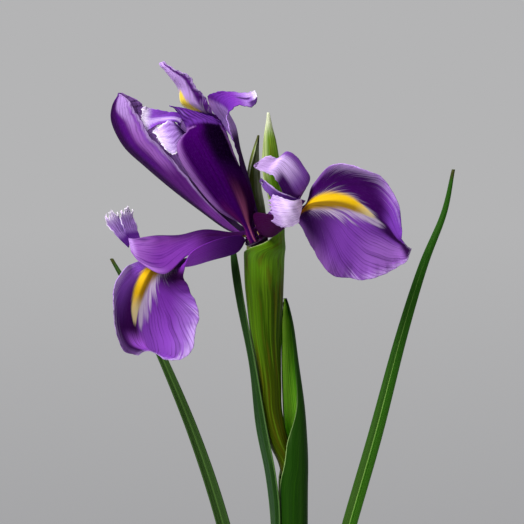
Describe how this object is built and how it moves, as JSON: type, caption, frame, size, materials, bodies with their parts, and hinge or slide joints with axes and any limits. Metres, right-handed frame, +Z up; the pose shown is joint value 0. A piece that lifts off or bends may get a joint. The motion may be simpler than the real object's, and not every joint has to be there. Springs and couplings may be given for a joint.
{
  "type": "cut iris stem in a bud vase",
  "caption": "Cut iris stem with an open violet flower, yellow signals, green spathe valves and long narrow leaves, standing in a plain glazed bud vase with water.",
  "frame": {"origin": "centre of the vase's foot, on its underside", "axes": "+Z up the stem, +X to the right and -Y towards the viewer, as in the picture"},
  "size_m": [0.1276, 0.0976, 0.3479],
  "materials": {
    "glaze": "gloss",
    "water": "clear",
    "stem_green": "satin",
    "dark_leaf": "satin",
    "bright_leaf": "satin",
    "spathe": "satin",
    "tube": "satin",
    "fall_petal": "matte",
    "standard_petal": "matte",
    "style_arm": "matte",
    "anther": "matte"
  },
  "bodies": {
    "root": {"vase": "glaze", "water": "water", "stem": "stem_green", "leaf_far_left": "dark_leaf", "leaf_left": "dark_leaf", "leaf_far_right": "bright_leaf", "leaf_right_sheath": "bright_leaf", "spathe_outer": "spathe", "spathe_inner": "spathe", "flower_stalk": "tube", "fall_left": "fall_petal", "fall_right": "fall_petal", "fall_rear": "fall_petal", "standard_front": "standard_petal", "standard_left": "standard_petal", "standard_right": "standard_petal", "style_left": "style_arm", "style_right": "style_arm", "style_rear": "style_arm", "stamen_left": "anther", "stamen_right": "anther", "stamen_rear": "anther"}
  },
  "joints": []
}
